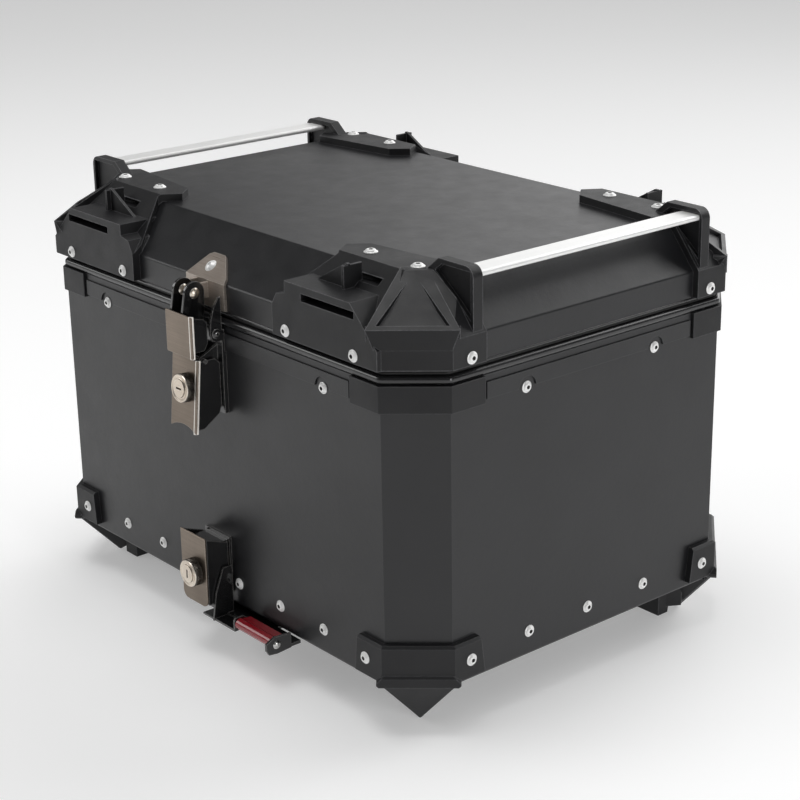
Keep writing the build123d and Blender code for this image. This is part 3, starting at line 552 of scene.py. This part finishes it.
def add_head(bm, base, out, radius, height):
    """A rivet head with a flange, a crowned top and a hexagonal socket whose walls and bottom take the
    black second slot: a painted shade.
    """
    turn = out.to_track_quat("Z", "Y").to_matrix().to_4x4()
    place = Matrix.Translation(base) @ turn
    loops = []
    for share, level, hexagon in HEAD_RINGS:
        loop = []
        for step in range(HEAD_STEPS):
            angle = 2 * math.pi * step / HEAD_STEPS
            reach = share * radius
            if hexagon:
                reach /= math.cos((angle % (math.pi / 3)) - math.pi / 6) * HEX_FIT
            spot = Vector((reach * math.cos(angle), reach * math.sin(angle), level * height))
            loop.append(bm.verts.new(place @ spot))
        loops.append(loop)
    for index, (lower, upper) in enumerate(zip(loops, loops[1:])):
        for step in range(HEAD_STEPS):
            after = (step + 1) % HEAD_STEPS
            face = bm.faces.new((lower[step], lower[after], upper[after], upper[step]))
            # The socket's walls and bottom take the black slot: a painted shade in the hollow.
            face.material_index = int(index == len(loops) - 2)
    bm.faces.new(loops[-1]).material_index = 1
    bm.faces.new(list(reversed(loops[0])))


def build_heads(finishes):
    for name in HEAD_NODES:
        node = nodes[name]
        bm = bmesh.new()
        for low, high in islands(node):
            size = high - low
            axis = min(range(3), key=lambda index: size[index])
            middle = (low + high) / 2
            out = Vector((0, 0, 0))
            out[axis] = 1.0 if middle[axis] > 0 else -1.0
            base = middle.copy()
            base[axis] = (low if out[axis] > 0 else high)[axis]
            add_head(bm, base, out, HEAD_SHARE * max(size) / 2, size[axis])
        slot = SLOT_OF[name]
        piece = mesh_object(f"{name}_heads", bm, finishes[slot], body_of(node)[0])
        # The black second slot paints shade into the sockets.
        piece.data.materials.append(finishes["latch_black"])
        split_edges(piece, SPLIT_ANGLE)
        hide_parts(name)


FOLD_R = 0.0024
FOLD_PROUD = 0.00012  # how far the fold stands out of the plate
FOLD_ROOT = 0.0004  # how far its two edges reach under the surface
FOLD_TURNS = range(0, 91, 10)  # degrees round the fold
EDGE_BAND = 0.0018  # vertices this close to the right side are on the edge
END_INSET = 0.002  # the fold stops this far short of the plate's ends
END_BAND = 0.004


def build_folds(finishes):
    """The rounded fold down the right edge of the cover and the upper lever, in a near-white copy of the
    bronze as a painted highlight.
    """
    for name in ("cover_plate", "upper_lever_plate"):
        node = nodes[name]
        points = [node.matrix_world @ vert.co for vert in node.data.vertices]
        right = max(point.x for point in points)
        edge = [point for point in points if point.x > right - EDGE_BAND]
        ends = sorted(
            (
                min((p for p in edge if abs(p.z - level) < END_BAND), key=lambda p: p.y)
                for level in (min(p.z for p in edge) + END_INSET, max(p.z for p in edge) - END_INSET)
            ),
            key=lambda point: point.z,
        )
        section = [(-FOLD_R, FOLD_ROOT)]
        section += [
            (
                -FOLD_R + (FOLD_R + FOLD_PROUD) * math.sin(math.radians(turn)),
                FOLD_R - (FOLD_R + FOLD_PROUD) * math.cos(math.radians(turn)),
            )
            for turn in FOLD_TURNS
        ]
        section.append((-FOLD_ROOT, FOLD_R))
        bm = bmesh.new()
        loops = []
        for end in ends:
            loops.append([bm.verts.new((right + across, end.y + deep, end.z)) for across, deep in section])
        count = len(section)
        for step in range(count):
            after = (step + 1) % count
            bm.faces.new((loops[0][step], loops[0][after], loops[1][after], loops[1][step]))
        bm.faces.new(loops[1])
        bm.faces.new(list(reversed(loops[0])))
        # The fold's near-white finish is a painted highlight.
        piece = mesh_object(f"{name}_fold", bm, finishes["latch_painted_highlight"], body_of(node)[0])
        split_edges(piece, SPLIT_ANGLE)


# ------------------------------------------------------ floor and lighting ----
FLOOR_LIFT = 0.30  # even glow of the pale floor, the same for every ray
SKY_LOW = 0.10
SKY_BACK = 1.75
BACK_SIDE = Vector((-0.22, 0.88, 0.39)).normalized()


def build_floor():
    bm = bmesh.new()
    bmesh.ops.create_grid(bm, x_segments=2, y_segments=2, size=6.0)
    mesh = bpy.data.meshes.new("floor")
    bm.to_mesh(mesh)
    bm.free()
    floor = bpy.data.objects.new("floor", mesh)
    scene.collection.objects.link(floor)
    floor.location = (0, 0, cad_low.z - 0.0004)
    material = bpy.data.materials.new("floor")
    material.use_nodes = True
    tree = material.node_tree
    tree.nodes.clear()
    paper = tree.nodes.new("ShaderNodeBsdfDiffuse")
    paper.inputs["Color"].default_value = (0.80, 0.80, 0.80, 1)
    lift = tree.nodes.new("ShaderNodeEmission")
    lift.inputs["Strength"].default_value = FLOOR_LIFT
    seen = tree.nodes.new("ShaderNodeAddShader")
    link(tree, paper.outputs[0], seen.inputs[0])
    link(tree, lift.outputs[0], seen.inputs[1])
    output = tree.nodes.new("ShaderNodeOutputMaterial")
    link(tree, seen.outputs[0], output.inputs["Surface"])
    mesh.materials.append(material)


def build_world():
    world = bpy.data.worlds.new("world")
    world.use_nodes = True
    scene.world = world
    tree = world.node_tree
    background = tree.nodes["Background"]
    way = tree.nodes.new("ShaderNodeTexCoord").outputs["Generated"]
    glow = smooth_node(tree, dot_node(tree, way, BACK_SIDE), 0.70, 1.0, SKY_BACK)
    glow = math_node(tree, "ADD", glow, SKY_LOW)
    ray = tree.nodes.new("ShaderNodeLightPath")
    mix = tree.nodes.new("ShaderNodeMix")
    link(tree, ray.outputs["Is Camera Ray"], mix.inputs[0])
    link(tree, glow, mix.inputs[2])
    mix.inputs[3].default_value = 1.0
    background.inputs["Color"].default_value = (1, 1, 1, 1)
    link(tree, mix.outputs[0], background.inputs["Strength"])


def area_light(name, place, aim, size, power):
    data = bpy.data.lights.new(name, "AREA")
    data.shape = "RECTANGLE"
    data.size, data.size_y = size
    data.energy = power
    light = bpy.data.objects.new(name, data)
    scene.collection.objects.link(light)
    light.location = place
    light.rotation_mode = "QUATERNION"
    light.rotation_quaternion = (Vector(aim) - Vector(place)).to_track_quat("-Z", "Y")


def build_lights():
    area_light("back_softbox", (0.5, 2.0, 1.5), (0, 0, 0.2), (1.8, 1.2), 16.0)
    area_light("top_softbox", (-0.2, -0.2, 2.3), (0, 0, 0.3), (1.4, 1.4), 22.0)
    area_light("left_softbox", (-1.7, -1.5, 1.2), (0, 0, 0.15), (1.2, 1.2), 12.0)
    area_light("edge_strip", (1.9, -0.25, 0.25), (0, -0.1, 0.2), (0.10, 1.4), 12.0)


scene.view_settings.view_transform = "Standard"
scene.view_settings.look = "None"
build_camera()
finishes = build_finishes()
dress_nodes(finishes)
build_locks(finishes)
build_heads(finishes)
build_folds(finishes)
build_floor()
build_world()
build_lights()
